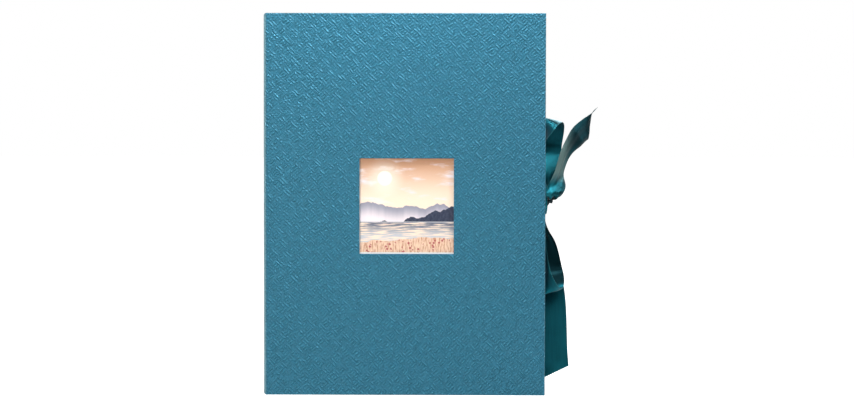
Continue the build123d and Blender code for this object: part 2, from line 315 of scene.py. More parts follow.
def makeEdgeRub():  # 1 along the edges of a box, broken up by noise
    group, given, results = newGroup(
        "edgeRub",
        [
            ("Vector", "Vector", None),
            ("Lowest", "Vector", None),
            ("Highest", "Vector", None),
            ("Width", "Float", 1.0 * mm),
        ],
        ["Mask"],
    )
    below = put(
        group,
        "VectorMath",
        {0: given["Vector"], 1: given["Lowest"]},
        operation="SUBTRACT",
    ).outputs[0]
    above = put(
        group,
        "VectorMath",
        {0: given["Highest"], 1: given["Vector"]},
        operation="SUBTRACT",
    ).outputs[0]
    inset = put(
        group, "VectorMath", {0: below, 1: above}, operation="MINIMUM"
    ).outputs[0]
    x, y, z = split(group, inset)
    middleOne = calc(
        group,
        "MAXIMUM",
        calc(group, "MINIMUM", x, y),
        calc(group, "MINIMUM", calc(group, "MAXIMUM", x, y), z),
    )
    near = ramp(group, middleOne, given["Width"], 0.0)
    patchy = ramp(group, noise(group, given["Vector"], 210.0, 3.0, 0.6), 0.38, 0.62)
    group.links.new(
        calc(group, "MULTIPLY", near, calc(group, "MULTIPLY_ADD", patchy, 0.65, 0.35)),
        results["Mask"],
    )
    return group


def makeCrossWeave():  # plain weave on a map in metres
    group, given, results = newGroup(
        "crossWeave",
        [("Vector", "Vector", None), ("Thread", "Float", 0.5 * mm)],
        ["Height"],
    )
    x, y, z = split(group, given["Vector"])
    over = calc(group, "DIVIDE", calc(group, "MULTIPLY", x, math.pi), given["Thread"])
    under = calc(group, "DIVIDE", calc(group, "MULTIPLY", y, math.pi), given["Thread"])
    warp = calc(group, "ABSOLUTE", calc(group, "SINE", over))
    weft = calc(group, "ABSOLUTE", calc(group, "SINE", under))
    swap = calc(
        group,
        "MULTIPLY",
        calc(group, "SINE", calc(group, "MULTIPLY", over, 0.5)),
        calc(group, "SINE", calc(group, "MULTIPLY", under, 0.5)),
    )
    swap = ramp(group, swap, -0.2, 0.2)
    woven = put(group, "Mix", {0: swap, 2: warp, 3: weft}).outputs[0]
    group.links.new(woven, results["Height"])
    return group


basketEmboss = makeBasketEmboss()
paperGrain = makePaperGrain()
edgeRub = makeEdgeRub()
crossWeave = makeCrossWeave()


def objectPlace(tree):
    return put(tree, "TexCoord").outputs["Object"]


def dress(material, *names):
    for name in names:
        for place in nodes[name].material_slots:
            place.material = material


# covering paper
mapShift = 0.1234  # the joint's map starts here, so that its weave meets the cover's
coverLook = {
    "body": colour(42, 117, 143),
    # ridge and valley tones follow the emboss: partly the paper's pearl tone, partly painted
    # highlight on the ridges and painted shade in the hollows
    "ridge": colour(68, 147, 173),
    "valley": colour(24, 93, 120),
    # pale tone for worn paper along the box's edges, also used for the painted highlight on the
    # joint's fold
    "rubAndHighlight": colour(152, 196, 208),
    "metal": 0.4,
    "rough": 0.42,
    "embossDepth": 0.00082,
    "rubWidth": 0.9 * mm,
    "pastJoint": 5 * mm,
    "foldHighlight": (2.6 * mm, 5.2 * mm),  # painted highlight along the joint's curve, from the spine's face
}


def makeCoverPaper(name, corners, mapName=None):
    look = coverLook
    material, tree, shader = newMaterial(
        name, Metallic=look["metal"], Roughness=look["rough"]
    )
    if mapName:
        u, v, _ = split(tree, put(tree, "UVMap", uv_map=mapName).outputs[0])
        place = put(tree, "CombineXYZ", {0: u, 1: 0.0, 2: v}).outputs[0]
    else:
        place = objectPlace(tree)
    weave = useGroup(tree, basketEmboss, {"Vector": place})
    grain = useGroup(tree, paperGrain, {"Vector": place, "Speck Size": 0.8 * mm})
    # painted highlight and shade: paler on the emboss's ridges, darker in its hollows, mixed with
    # the paper's pearl tone
    base = mixColour(
        tree, ramp(tree, weave["Height"], 0.1, 0.95), look["valley"], look["ridge"]
    )
    base = mixColour(tree, 0.62, base, look["body"])
    speck = ramp(tree, grain["Specks"], 0.3, 0.7, 0.85, 1.15)
    mottle = ramp(tree, noise(tree, place, 240.0, 2.0, 0.6), 0.3, 0.7, 0.93, 1.07)
    tint = calc(tree, "MULTIPLY", speck, mottle)
    base = mixColour(tree, 1.0, base, tint, "MULTIPLY")
    if corners:
        low, high = corners
        rub = useGroup(
            tree,
            edgeRub,
            {
                "Vector": place,
                "Lowest": low,
                "Highest": high,
                "Width": look["rubWidth"],
            },
        )["Mask"]
        base = mixColour(tree, calc(tree, "MULTIPLY", rub, 0.35), base, look["rubAndHighlight"])
    if mapName:  # painted highlight: the fold is paler along the spine's edge, where the rounded joint catches the light
        nearSpine, farSpine = look["foldHighlight"]
        fold = ramp(tree, calc(tree, "ADD", u, mapShift), farSpine, nearSpine)
        patchy = ramp(tree, grain["Clouds"], 0.25, 0.6, 0.75, 1.0)
        fold = calc(tree, "MULTIPLY", calc(tree, "MULTIPLY", fold, patchy), 0.8)
        base = mixColour(tree, fold, base, look["rubAndHighlight"])
    rough = ramp(tree, grain["Specks"], 0.3, 0.7, 0.46, 0.60)
    pebble = noise(tree, place, 620.0, 0.0)
    height = calc(tree, "MULTIPLY_ADD", pebble, 0.6, weave["Height"])
    finishWith(tree, shader, base, rough, height, look["embossDepth"])
    return material


for nodeName in ("front_cover_paper", "back_cover_paper", "spine_paper"):
    low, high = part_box(nodeName)
    if nodeName == "front_cover_paper":  # its left edge runs on into the joint, unrubbed
        low = low - Vector((coverLook["pastJoint"], 0, 0))
    dress(makeCoverPaper(nodeName + "Look", (low, high)), nodeName)


# tray paper, linings, boards, card and tape
def makeFlatPaper(name, base, shade, rough, depth, specks=0.05, size=0.35 * mm):
    material, tree, shader = newMaterial(name, Roughness=rough)
    place = objectPlace(tree)
    grain = useGroup(tree, paperGrain, {"Vector": place, "Speck Size": size})
    tone = mixColour(tree, ramp(tree, grain["Clouds"], 0.3, 0.7), base, shade)
    fleck = ramp(tree, grain["Specks"], 0.3, 0.7, 1 - specks, 1 + specks)
    tone = mixColour(tree, 1.0, tone, fleck, "MULTIPLY")
    roughness = ramp(tree, grain["Specks"], 0.3, 0.7, rough - 0.06, rough + 0.06)
    height = calc(tree, "ADD", grain["Specks"], grain["Fibres"])
    finishWith(tree, shader, tone, roughness, height, depth)
    return material


papers = {
    # name: tone, its shade, roughness, depth of the grain, specks
    "trayPaper": (colour(52, 112, 136), colour(47, 104, 128), 0.62, 0.00004, 0.06),
    "liningPaper": (colour(240, 236, 226), colour(233, 228, 216), 0.7, 0.00003, 0.02),
    "greyboardLook": (colour(158, 151, 141), colour(140, 133, 124), 0.9, 0.0001, 0.14),
    "pocketCard": (colour(236, 233, 225), colour(229, 225, 216), 0.6, 0.00003, 0.02),
    "gummedTapeLook": (colour(196, 164, 124), colour(184, 150, 110), 0.5, 0.00004, 0.05),
}
dresses = {
    "trayPaper": ("tray_wrap",),
    "liningPaper": (
        "front_lining",
        "back_lining",
        "spine_lining",
        "tray_wall_lining",
        "tray_floor_lining",
    ),
    "greyboardLook": (
        "front_board",
        "back_board",
        "spine_board",
        "tray_floor",
        "tray_head_wall",
        "tray_tail_wall",
        "tray_fore_edge_wall",
        "tray_spine_wall",
    ),
    "pocketCard": ("pocket_spacer", "pocket_back"),
    "gummedTapeLook": ("tray_corner_tapes",),
}
for paperName, (tone, shade, rough, depth, specks) in papers.items():
    paperMaterial = makeFlatPaper(paperName, tone, shade, rough, depth, specks)
    dress(paperMaterial, *dresses[paperName])
print("papers and boards are dressed")

# the print: a lake below hills at dusk, with a white border
printLow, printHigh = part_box("photo_print")
picture = {
    "middle": ((printLow.x + printHigh.x) / 2, (printLow.z + printHigh.z) / 2),
    "frontFace": (printLow.y + printHigh.y) / 2,
    "border": (7.1, 6.0, 7.5, 4.5),  # left, right, bottom and top, in mm
    "paper": colour(246, 246, 248),
    "skyTop": colour(205, 150, 113),
    "skyLow": colour(255, 232, 210),
    "cloud": colour(243, 234, 240),
    "sun": colour(255, 250, 236),
    "farHill": colour(150, 152, 170),
    "nearHill": colour(33, 45, 72),
    "water": colour(196, 200, 208),
    "waterDark": colour(86, 96, 118),
    "bank": colour(240, 208, 182),
    "bankShade": colour(196, 142, 112),
    "flower": colour(176, 72, 78),
}


def makePrint():
    look = picture
    material, tree, shader = newMaterial(
        "printLook", Roughness=0.3, **{"Specular IOR Level": 0.45}
    )
    place = objectPlace(tree)
    x, y, z = split(tree, place)
    centreX, centreZ = look["middle"]
    px = calc(tree, "MULTIPLY", calc(tree, "SUBTRACT", x, centreX), 1000.0)
    pz = calc(tree, "MULTIPLY", calc(tree, "SUBTRACT", z, centreZ), 1000.0)
    flat = put(tree, "CombineXYZ", {0: px, 1: pz, 2: 0.0}).outputs[0]

    tone = mixColour(tree, ramp(tree, pz, 2.0, 46.0), look["skyLow"], look["skyTop"])
    drift = noise(tree, stretched(tree, flat, (0.035, 0.12, 1)), 1.0, 4.0, 0.55)
    clouds = ramp(tree, drift, 0.50, 0.68)
    clouds = calc(tree, "MULTIPLY", clouds, ramp(tree, pz, -4.0, 10.0, 0.25, 0.9))
    tone = mixColour(tree, clouds, tone, look["cloud"])
    away = put(
        tree, "VectorMath", {0: flat, 1: (-19.0, 24.0, 0.0)}, operation="DISTANCE"
    ).outputs["Value"]
    halo = ramp(tree, away, 20.0, 5.0, 0.0, 0.55)
    tone = mixColour(tree, halo, tone, look["sun"])
    tone = mixColour(tree, ramp(tree, away, 6.8, 6.0), tone, look["sun"])

    def ridge(scale, seed, height, base, slope):
        line = put(tree, "CombineXYZ", {0: px, 1: seed, 2: 0.0}).outputs[0]
        crest = noise(tree, stretched(tree, line, (scale, 1, 1)), 1.0, 4.0, 0.5)
        crest = calc(tree, "MULTIPLY_ADD", crest, height, base)
        crest = calc(tree, "MULTIPLY_ADD", px, slope, crest)
        return calc(tree, "SUBTRACT", crest, pz)

    farInside = ridge(0.05, 3.1, 20.0, -10.0, -0.05)
    haze = mixColour(
        tree, ramp(tree, farInside, 0.0, 14.0), look["farHill"], look["cloud"]
    )
    tone = mixColour(tree, ramp(tree, farInside, -0.3, 0.3), tone, haze)
    nearInside = ridge(0.045, 8.7, 26.0, -23.0, 0.16)
    woods = noise(tree, stretched(tree, flat, (0.5, 0.3, 1)), 1.0, 4.0, 0.6)
    slopeTone = mixColour(
        tree, ramp(tree, woods, 0.35, 0.75, 0.0, 0.4), look["nearHill"], look["waterDark"]
    )
    tone = mixColour(tree, ramp(tree, nearInside, -0.25, 0.25), tone, slopeTone)

    ripple = noise(tree, stretched(tree, flat, (0.06, 0.9, 1)), 1.0, 3.0, 0.55)
    lake = mixColour(tree, ramp(tree, ripple, 0.42, 0.6), look["water"], look["skyLow"])
    shadow = calc(tree, "MULTIPLY", ramp(tree, pz, -27.0, -13.0), ramp(tree, ripple, 0.62, 0.45))
    lake = mixColour(tree, shadow, lake, look["waterDark"])
    tone = mixColour(tree, ramp(tree, pz, -13.6, -14.0), tone, lake)
    shore = calc(tree, "LESS_THAN", calc(tree, "ABSOLUTE", calc(tree, "ADD", pz, 13.7)), 0.45)
    tone = mixColour(tree, calc(tree, "MULTIPLY", shore, 0.7), tone, look["water"])

    bankInside = ridge(0.04, 15.2, 12.0, -34.5, 0.05)
    grass = noise(tree, stretched(tree, flat, (0.9, 0.16, 1)), 1.0, 3.0, 0.6)
    bank = mixColour(tree, ramp(tree, grass, 0.42, 0.66), look["bank"], look["bankShade"])
    cells = put(
        tree,
        "TexVoronoi",
        {"Vector": flat, "Scale": 0.30, "Randomness": 1.0},
    ).outputs
    bloom = calc(
        tree,
        "MULTIPLY",
        ramp(tree, cells["Distance"], 0.34, 0.26),
        calc(tree, "GREATER_THAN", noise(tree, flat, 0.12, 1.0), 0.45),
    )
    bank = mixColour(tree, calc(tree, "MULTIPLY", bloom, 0.9), bank, look["flower"])
    tone = mixColour(tree, ramp(tree, bankInside, -0.2, 0.2), tone, bank)

    halfWidth = (printHigh.x - printLow.x) / 2 / mm
    halfHeight = (printHigh.z - printLow.z) / 2 / mm
    left, right, bottom, top = look["border"]
    insides = [
        ramp(tree, px, left - halfWidth - 0.1, left - halfWidth + 0.1),
        ramp(tree, px, halfWidth - right + 0.1, halfWidth - right - 0.1),
        ramp(tree, pz, bottom - halfHeight - 0.1, bottom - halfHeight + 0.1),
        ramp(tree, pz, halfHeight - top + 0.1, halfHeight - top - 0.1),
        calc(tree, "LESS_THAN", y, look["frontFace"]),
    ]
    inside = insides[0]
    for other in insides[1:]:
        inside = calc(tree, "MULTIPLY", inside, other)
    tone = mixColour(tree, inside, look["paper"], tone)
    grain = useGroup(tree, paperGrain, {"Vector": place, "Speck Size": 0.25 * mm})
    fleck = ramp(tree, grain["Specks"], 0.3, 0.7, 0.985, 1.015)
    tone = mixColour(tree, 1.0, tone, fleck, "MULTIPLY")
    rough = ramp(tree, grain["Clouds"], 0.3, 0.7, 0.27, 0.34)
    finishWith(tree, shader, tone, rough, grain["Specks"], 0.000008)
    return material


dress(makePrint(), "photo_print")
print("print is made")


# joint: paper and linen round the front corner of the spine
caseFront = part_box("spine_board")[0].y  # where the paper leaves the spine
jointStrip = {
    "spineFace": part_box("spine_paper")[0].x,
    "radius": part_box("front_cover_paper")[0].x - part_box("spine_paper")[0].x,
    "height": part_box("hinge_paper")[1].z,
    "paper": 0.35 * mm,
    "linen": 0.4 * mm,
    "endRadius": 2.5 * mm,
    "steps": 14,
}


def makeJointStrip(name, outer, thickness, endInset, endRadius):
    look = jointStrip
    centre = Vector((look["spineFace"] + look["radius"], caseFront, 0))
    tall = look["height"] - 2 * endInset
    bpy.ops.object.select_all(action="DESELECT")
    bpy.ops.mesh.primitive_plane_add(
        size=1,
        location=(centre.x - outer + thickness / 2, caseFront, look["height"] / 2),
        rotation=(math.radians(90), 0, 0),
    )
    strip = bpy.context.active_object
    strip.name = name
    strip.scale = (thickness, tall, 1)
    bpy.ops.object.transform_apply(location=True, rotation=True, scale=True)
    bpy.ops.object.mode_set(mode="EDIT")
    bpy.ops.mesh.select_all(action="SELECT")
    bpy.ops.mesh.spin(
        steps=look["steps"], angle=math.radians(90), center=centre, axis=(0, 0, -1)
    )
    bpy.ops.mesh.select_all(action="SELECT")
    bpy.ops.mesh.remove_doubles(threshold=1e-7)
    bpy.ops.mesh.normals_make_consistent(inside=False)
    bpy.ops.object.mode_set(mode="OBJECT")
    mapLayer = strip.data.uv_layers.new(name="jointMap")
    for loop in strip.data.loops:
        place = strip.data.vertices[loop.vertex_index].co
        angle = math.atan2(caseFront - place.y, centre.x - place.x)
        mapLayer.data[loop.index].uv = (angle * outer - mapShift, place.z)
    for vertex in strip.data.vertices:  # round the outline at head and tail
        inset = vertex.co.x - (look["spineFace"] + endInset)
        drop = 0.0
        if inset < endRadius:
            reach = endRadius - max(inset, 0.0)
            drop = endRadius - math.sqrt(endRadius**2 - reach**2)
        low = vertex.co.z < look["height"] / 2
        vertex.co.z += drop if low else -drop
    bpy.ops.object.select_all(action="DESELECT")
    strip.select_set(True)
    bpy.context.view_layer.objects.active = strip
    bpy.ops.object.shade_smooth_by_angle(angle=math.radians(40))
    return strip


look = jointStrip
jointPaper = makeJointStrip(
    "jointPaper", look["radius"], look["paper"], 0.0, look["endRadius"]
)
jointPaper.data.materials.append(makeCoverPaper("jointPaperLook", None, "jointMap"))
jointLinen = makeJointStrip(
    "jointLinen",
    look["radius"] - look["paper"],
    look["linen"],
    look["paper"],
    look["endRadius"] - look["paper"],
)
linenMaterial, tree, shader = newMaterial("linenLook", Roughness=0.85)
linenMap = put(tree, "UVMap", uv_map="jointMap").outputs[0]
woven = useGroup(tree, crossWeave, {"Vector": linenMap, "Thread": 0.42 * mm})["Height"]
slub = noise(tree, stretched(tree, linenMap, (1, 0.2, 1)), 1500.0, 2.0)
linenTone = mixColour(
    tree, ramp(tree, woven, 0.1, 0.9), colour(196, 186, 164), colour(226, 218, 200)
)
linenTone = mixColour(tree, ramp(tree, slub, 0.4, 0.7, 0, 0.4), linenTone, colour(240, 234, 220))
finishWith(tree, shader, linenTone, None, woven, 0.00012)
jointLinen.data.materials.append(linenMaterial)
for piece, node, slotName in (
    (jointPaper, "hinge_paper", "cover_paper"),
    (jointLinen, "hinge_cloth", "joint_linen"),
):
    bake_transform(piece)
    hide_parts(node)
print("joint strips are bent")

# ribbons
ribbon = {
    "width": 25.0,
    "thickness": 0.28,
    "wall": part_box("tray_wrap")[1].x / mm,
    "middle": (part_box("front_lining")[1].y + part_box("back_lining")[0].y) / 2 / mm,
    "halfGap": (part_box("back_lining")[0].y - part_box("front_lining")[1].y) / 2 / mm,
    "height": 169.5,
    "foreEdge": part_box("front_cover_paper")[1].x / mm,
    "under": 16.0,  # glued length, from the fore-edge
    "knotRight": 7.0,
    "knotHeight": 9.0,
    "knotDepth": 9.0,
    "knotSplit": 0.6,
    "bend": 1.1,
    "across": 44,
    "perBand": 150,
    "sharpPleats": 5,
    "deepest": 1.6,
    "loopCrown": 1.0,
    "tailCrown": -2.8,
    "calmEnd": 24.0,  # the pleats die out this far from a cut end
}
# Stations: right of the tray's wall, forward share of half the gap, above the knot,
# then the other edge: across and up in ribbon widths, and its own forward share.
upperLoop = [
    (4.0, 0.10, 1.0, 0.22, 0.00, 0.14),
    (2.6, 0.00, 9.0, 0.34, 0.00, -0.04),
    (1.5, -0.20, 18.5, 0.52, 0.00, -0.30),
    (1.0, -0.43, 28.0, 0.67, -0.01, -0.57),
    (0.8, -0.63, 36.5, 0.72, 0.00, -0.78),
    (0.8, -0.78, 46.0, 0.75, 0.00, -0.90),
    (1.0, -0.64, 60.5, 0.80, -0.08, -0.58),
    (0.9, -0.28, 71.0, 0.71, -0.16, 0.12),
    (0.8, -0.10, 67.5, 0.48, -0.18, 0.66),
    (0.8, -0.12, 59.0, 0.28, -0.10, 0.83),
    (0.8, -0.15, 48.0, 0.12, 0.08, 0.88),
    (0.9, -0.10, 36.0, 0.08, 0.08, 0.87),
    (1.6, 0.12, 21.0, 0.05, 0.02, 0.78),
    (2.8, 0.24, 10.0, 0.05, 0.00, 0.56),
    (4.4, 0.22, 1.5, 0.06, 0.00, 0.38),
]
upperTail = [
    (4.8, 0.28, 0.5, 0.18, 0.00, 0.30),
    (4.2, 0.66, 1.4, 0.34, 0.00, 0.60),
    (3.4, 1.12, 3.0, 0.54, 0.03, 0.96),
    (4.0, 0.98, 8.6, 0.66, 0.05, 0.78),
    (9.5, 0.94, 20.5, 0.40, 0.00, 0.45),
    (14.0, 0.88, 33.5, 0.36, 0.02, 0.32),
    (17.0, 0.82, 43.4, 0.42, -0.11, 0.19),
    (21.3, 0.72, 52.5, 0.505, -0.28, 0.01),
    (26.6, 0.60, 61.6, 0.445, -0.50, -0.10),
    (35.5, 0.38, 69.4, 0.235, -0.69, -0.20),
    (37.3, 0.34, 70.7, 0.18, -0.72, -0.19),
    (39.2, 0.30, 71.8, 0.13, -0.63, -0.15),
    (41.0, 0.27, 73.0, 0.065, -0.49, -0.09),
    (43.2, 0.23, 74.4, 0.01, -0.25, 0.00),
    (44.6, 0.20, 75.4, -0.02, -0.07, 0.07),
    (49.2, 0.14, 80.2, -0.01, -0.02, 0.135),
]
lowerLoop = [
    (4.4, -0.12, -1.5, 0.10, 0.00, -0.20),
    (1.8, -0.06, -9.0, 0.08, 0.00, 0.12),
    (0.8, 0.02, -17.5, 0.07, 0.00, 0.50),
    (0.8, -0.10, -33.0, 0.11, -0.06, 0.76),
    (0.8, -0.04, -51.0, 0.19, 0.00, 0.82),
    (0.8, 0.04, -62.0, 0.26, 0.10, 0.82),
    (0.8, 0.14, -75.0, 0.43, 0.19, 0.74),
    (0.8, 0.34, -83.0, 0.69, 0.19, 0.20),
    (1.0, -0.10, -74.2, 0.82, 0.13, -0.34),
    (1.0, -0.44, -62.3, 0.77, 0.00, -0.62),
    (0.9, -0.56, -51.1, 0.67, 0.00, -0.64),
    (0.9, -0.60, -40.0, 0.49, 0.11, -0.56),
    (0.8, -0.54, -24.0, 0.13, 0.06, -0.30),
    (1.1, -0.40, -13.5, 0.06, 0.00, -0.20),
    (4.6, -0.28, -1.5, 0.08, 0.00, -0.20),
]
lowerTail = [
    (4.8, -0.34, -1.0, 0.08, 0.00, -0.30),
    (1.4, -0.62, -10.0, 0.06, 0.00, -0.46),
    (0.8, -0.94, -22.0, 0.07, 0.00, -0.72),
    (1.0, -0.98, -40.0, 0.32, 0.00, -0.92),
    (1.0, -0.88, -60.0, 0.66, -0.02, -0.90),
    (0.8, -0.54, -79.9, 0.85, -0.03, -0.68),
    (0.8, -0.14, -102.7, 0.91, -0.03, -0.32),
    (0.8, 0.20, -130.5, 0.93, -0.03, 0.00),
    (0.8, 0.46, -156.8, 0.96, 0.44, 0.26),
]


def edgePair(station):
    right, forward, up, across, climb, farForward = station
    near = (
        ribbon["wall"] + right,
        ribbon["middle"] - forward * ribbon["halfGap"],
        ribbon["height"] + up,
    )
    far = (
        near[0] + across * ribbon["width"],
        ribbon["middle"] - farForward * ribbon["halfGap"],
        near[2] + climb * ribbon["width"],
    )
    return near, far


def leadIn(inner, outward):  # from under the lining, round the cover's edge, to the knot
    level = inner - outward * 0.2
    bend = ribbon["bend"]
    half = ribbon["width"] / 2
    fore = ribbon["foreEdge"]
    knotX = ribbon["wall"] + ribbon["knotRight"]
    knotFace = ribbon["middle"] - outward * (
        ribbon["knotSplit"] + ribbon["knotDepth"]
    ) / 2
    rows = [
        (fore - ribbon["under"], level, half),
        (fore - ribbon["under"] / 2, level, half),
        (fore, level, half),
        (fore + 0.7 * bend, level + outward * 0.3 * bend, half),
        (fore + 0.9 * bend, level + outward * bend, 0.96 * half),
        (fore + bend, level + outward * 4 * bend, 0.8 * half),
        (fore + 1.3 * bend, level + outward * 7 * bend, 0.5 * half),
        (knotX, knotFace, ribbon["knotHeight"] * 0.3),
    ]
    z = ribbon["height"]
    return [((x, y, z - reach), (x, y, z + reach)) for x, y, reach in rows]


def smoothThrough(points, spots, wanted):  # natural cubic spline through the points
    count = len(points)
    step = np.diff(spots)
    system = np.eye(count)
    right = np.zeros((count, 3))
    slope = np.diff(points, axis=0) / step[:, None]
    for n in range(1, count - 1):
        system[n, n - 1 : n + 2] = (step[n - 1], 2 * (step[n - 1] + step[n]), step[n])
        right[n] = 6 * (slope[n] - slope[n - 1])
    bends = np.linalg.solve(system, right)
    n = np.clip(np.searchsorted(spots, wanted, side="right") - 1, 0, count - 2)
    ahead = (spots[n + 1] - wanted)[:, None]
    behind = (wanted - spots[n])[:, None]
    width = step[n][:, None]
    return (
        bends[n] * ahead**3 / (6 * width)
        + bends[n + 1] * behind**3 / (6 * width)
        + (points[n] / width - bends[n] * width / 6) * ahead
        + (points[n + 1] / width - bends[n + 1] * width / 6) * behind
    )


def unit(rows):
    return rows / np.maximum(np.linalg.norm(rows, axis=1, keepdims=True), 1e-9)


def bandGrid(pairs, phase, crown, cut):  # points of a band, rows along it
    near, far = (np.array(side, float) for side in zip(*pairs))
    middles = (near + far) / 2
    spots = np.concatenate(
        ([0], np.cumsum(np.linalg.norm(np.diff(middles, axis=0), axis=1)))
    )
    wanted = np.linspace(0, spots[-1], ribbon["perBand"])
    near = smoothThrough(near, spots, wanted)
    far = smoothThrough(far, spots, wanted)
    middles = (near + far) / 2
    chord = far - near
    wide = np.linalg.norm(chord, axis=1)
    outward = unit(np.cross(np.gradient(middles, axis=0), chord))
    v = np.linspace(0, 1, ribbon["across"] + 1)
    pleats = ribbon["sharpPleats"]
    fine = np.sin(math.pi * pleats * v) + 0.6 * np.sin(
        math.pi * (pleats - 2) * v
    ) * np.cos(phase)
    broad = np.sin(math.pi * v) + 0.3 * np.sin(math.pi * 3 * v) * np.sin(phase)
    pinch = np.clip((1 - wide / ribbon["width"] - 0.3) / 0.4, 0, 1)
    pinch = (pinch * pinch * (3 - 2 * pinch))[:, None]
    shape = pinch * fine + (1 - pinch) * broad * math.copysign(1, crown)
    if cut:
        calm = np.clip((spots[-1] - wanted) / ribbon["calmEnd"] - 0.35, 0, 1)
        shape = shape * calm[:, None]

    def cloth(depth):
        rise = np.diff(shape, axis=1) * depth[:, None]
        run = wide[:, None] / ribbon["across"]
        return np.sqrt(rise**2 + run**2).sum(axis=1)

    low = np.zeros(len(wide))
    high = abs(crown) + pinch[:, 0] * (ribbon["deepest"] - abs(crown))
    for _ in range(24):
        depth = (low + high) / 2
        short = cloth(depth) < ribbon["width"]
        low = np.where(short, depth, low)
        high = np.where(short, high, depth)
    lift = shape * depth[:, None]
    grid = near[:, None] + chord[:, None] * v[None, :, None]
    grid = grid + outward[:, None] * lift[:, :, None]
    return grid * mm


def addBand(mesh, mapLayer, grid, startLength):
    rows, columns = grid.shape[:2]
    middle = grid[:, columns // 2]
    along = startLength + np.concatenate(
        ([0], np.cumsum(np.linalg.norm(np.diff(middle, axis=0), axis=1)))
    )
    points = [[mesh.verts.new(place) for place in row] for row in grid]
    width = ribbon["width"] * mm
    for r in range(rows - 1):
        for c in range(columns - 1):
            corners = ((r, c), (r + 1, c), (r + 1, c + 1), (r, c + 1))
            face = mesh.faces.new([points[a][b] for a, b in corners])
            face.smooth = True
            for loop, (a, b) in zip(face.loops, corners):
                loop[mapLayer].uv = (along[a], width * b / (columns - 1))
    return along[-1]


def makeRibbon(name, bands):
    mesh = bmesh.new()
    mapLayer = mesh.loops.layers.uv.new("clothMap")
    length = 0.0
    starts = []
    for pairs, phase, crown, cut in bands:
        starts.append(length)
        grid = bandGrid(pairs, phase, crown, cut)
        length = addBand(mesh, mapLayer, grid, length)
    data = bpy.data.meshes.new(name)
    mesh.to_mesh(data)
    mesh.free()
    piece = bpy.data.objects.new(name, data)
    bpy.context.scene.collection.objects.link(piece)
    bpy.ops.object.select_all(action="DESELECT")
    piece.select_set(True)
    bpy.context.view_layer.objects.active = piece
    wall = piece.modifiers.new("clothThickness", "SOLIDIFY")
    wall.thickness = ribbon["thickness"] * mm
    wall.offset = 0
    wall.use_even_offset = False
    bpy.ops.object.modifier_apply(modifier="clothThickness")
    print(name, "length", round(length, 4))
    return piece, length, starts


satinLook = {
    "deep": colour(10, 98, 112),
    "sheen": colour(16, 108, 122),
    "selvage": colour(64, 144, 152),
    "metal": 0.8,
    "rough": 0.48,
    "stretch": 0.95,  # satin is smooth along its floats and rough across them
    "quarterTurn": 0.25,
    "fuzz": 0.2,
    "paintedSheen": colour(156, 186, 182),  # painted sheen: a grey-white reflection painted on the tail above the knot
    # painted shade: the knots' satin is darkened by this factor
    "knotPaintedShade": 0.22,
    # painted shade on the tail's upper part, towards its cut end
    "paintedTailShade": 0.34,
    "paintedSheenOver": (30 * mm, 44 * mm),  # along the tail, from its start
    "paintedSheenEnds": 45 * mm,
    "paintedTailShadeOver": (46 * mm, 72 * mm),
    "paintedGatherOver": (18 * mm, 12 * mm),
    "paintedBulgeOver": (40 * mm, 31 * mm),
    "hollowStarts": (92 * mm, 101 * mm),  # along the lower loop, from its start
    "hollowEnds": (172 * mm, 155 * mm),
    "paintedHighlightStarts": (78 * mm, 86 * mm),
    "paintedHighlightEnds": (99 * mm, 93 * mm),
    "paintedGatherShade": 0.22,  # painted shade between the pleats, where the tail leaves the knot
    "paintedBulgeShade": 0.5,  # painted shade on the outer half of the tail's bulge above the knot
    "paintedHollowShade": 0.3,  # painted shade inside the lower loop
    "paintedBottomHighlight": 1.6,  # painted highlight in the lower loop's bottom turn
}


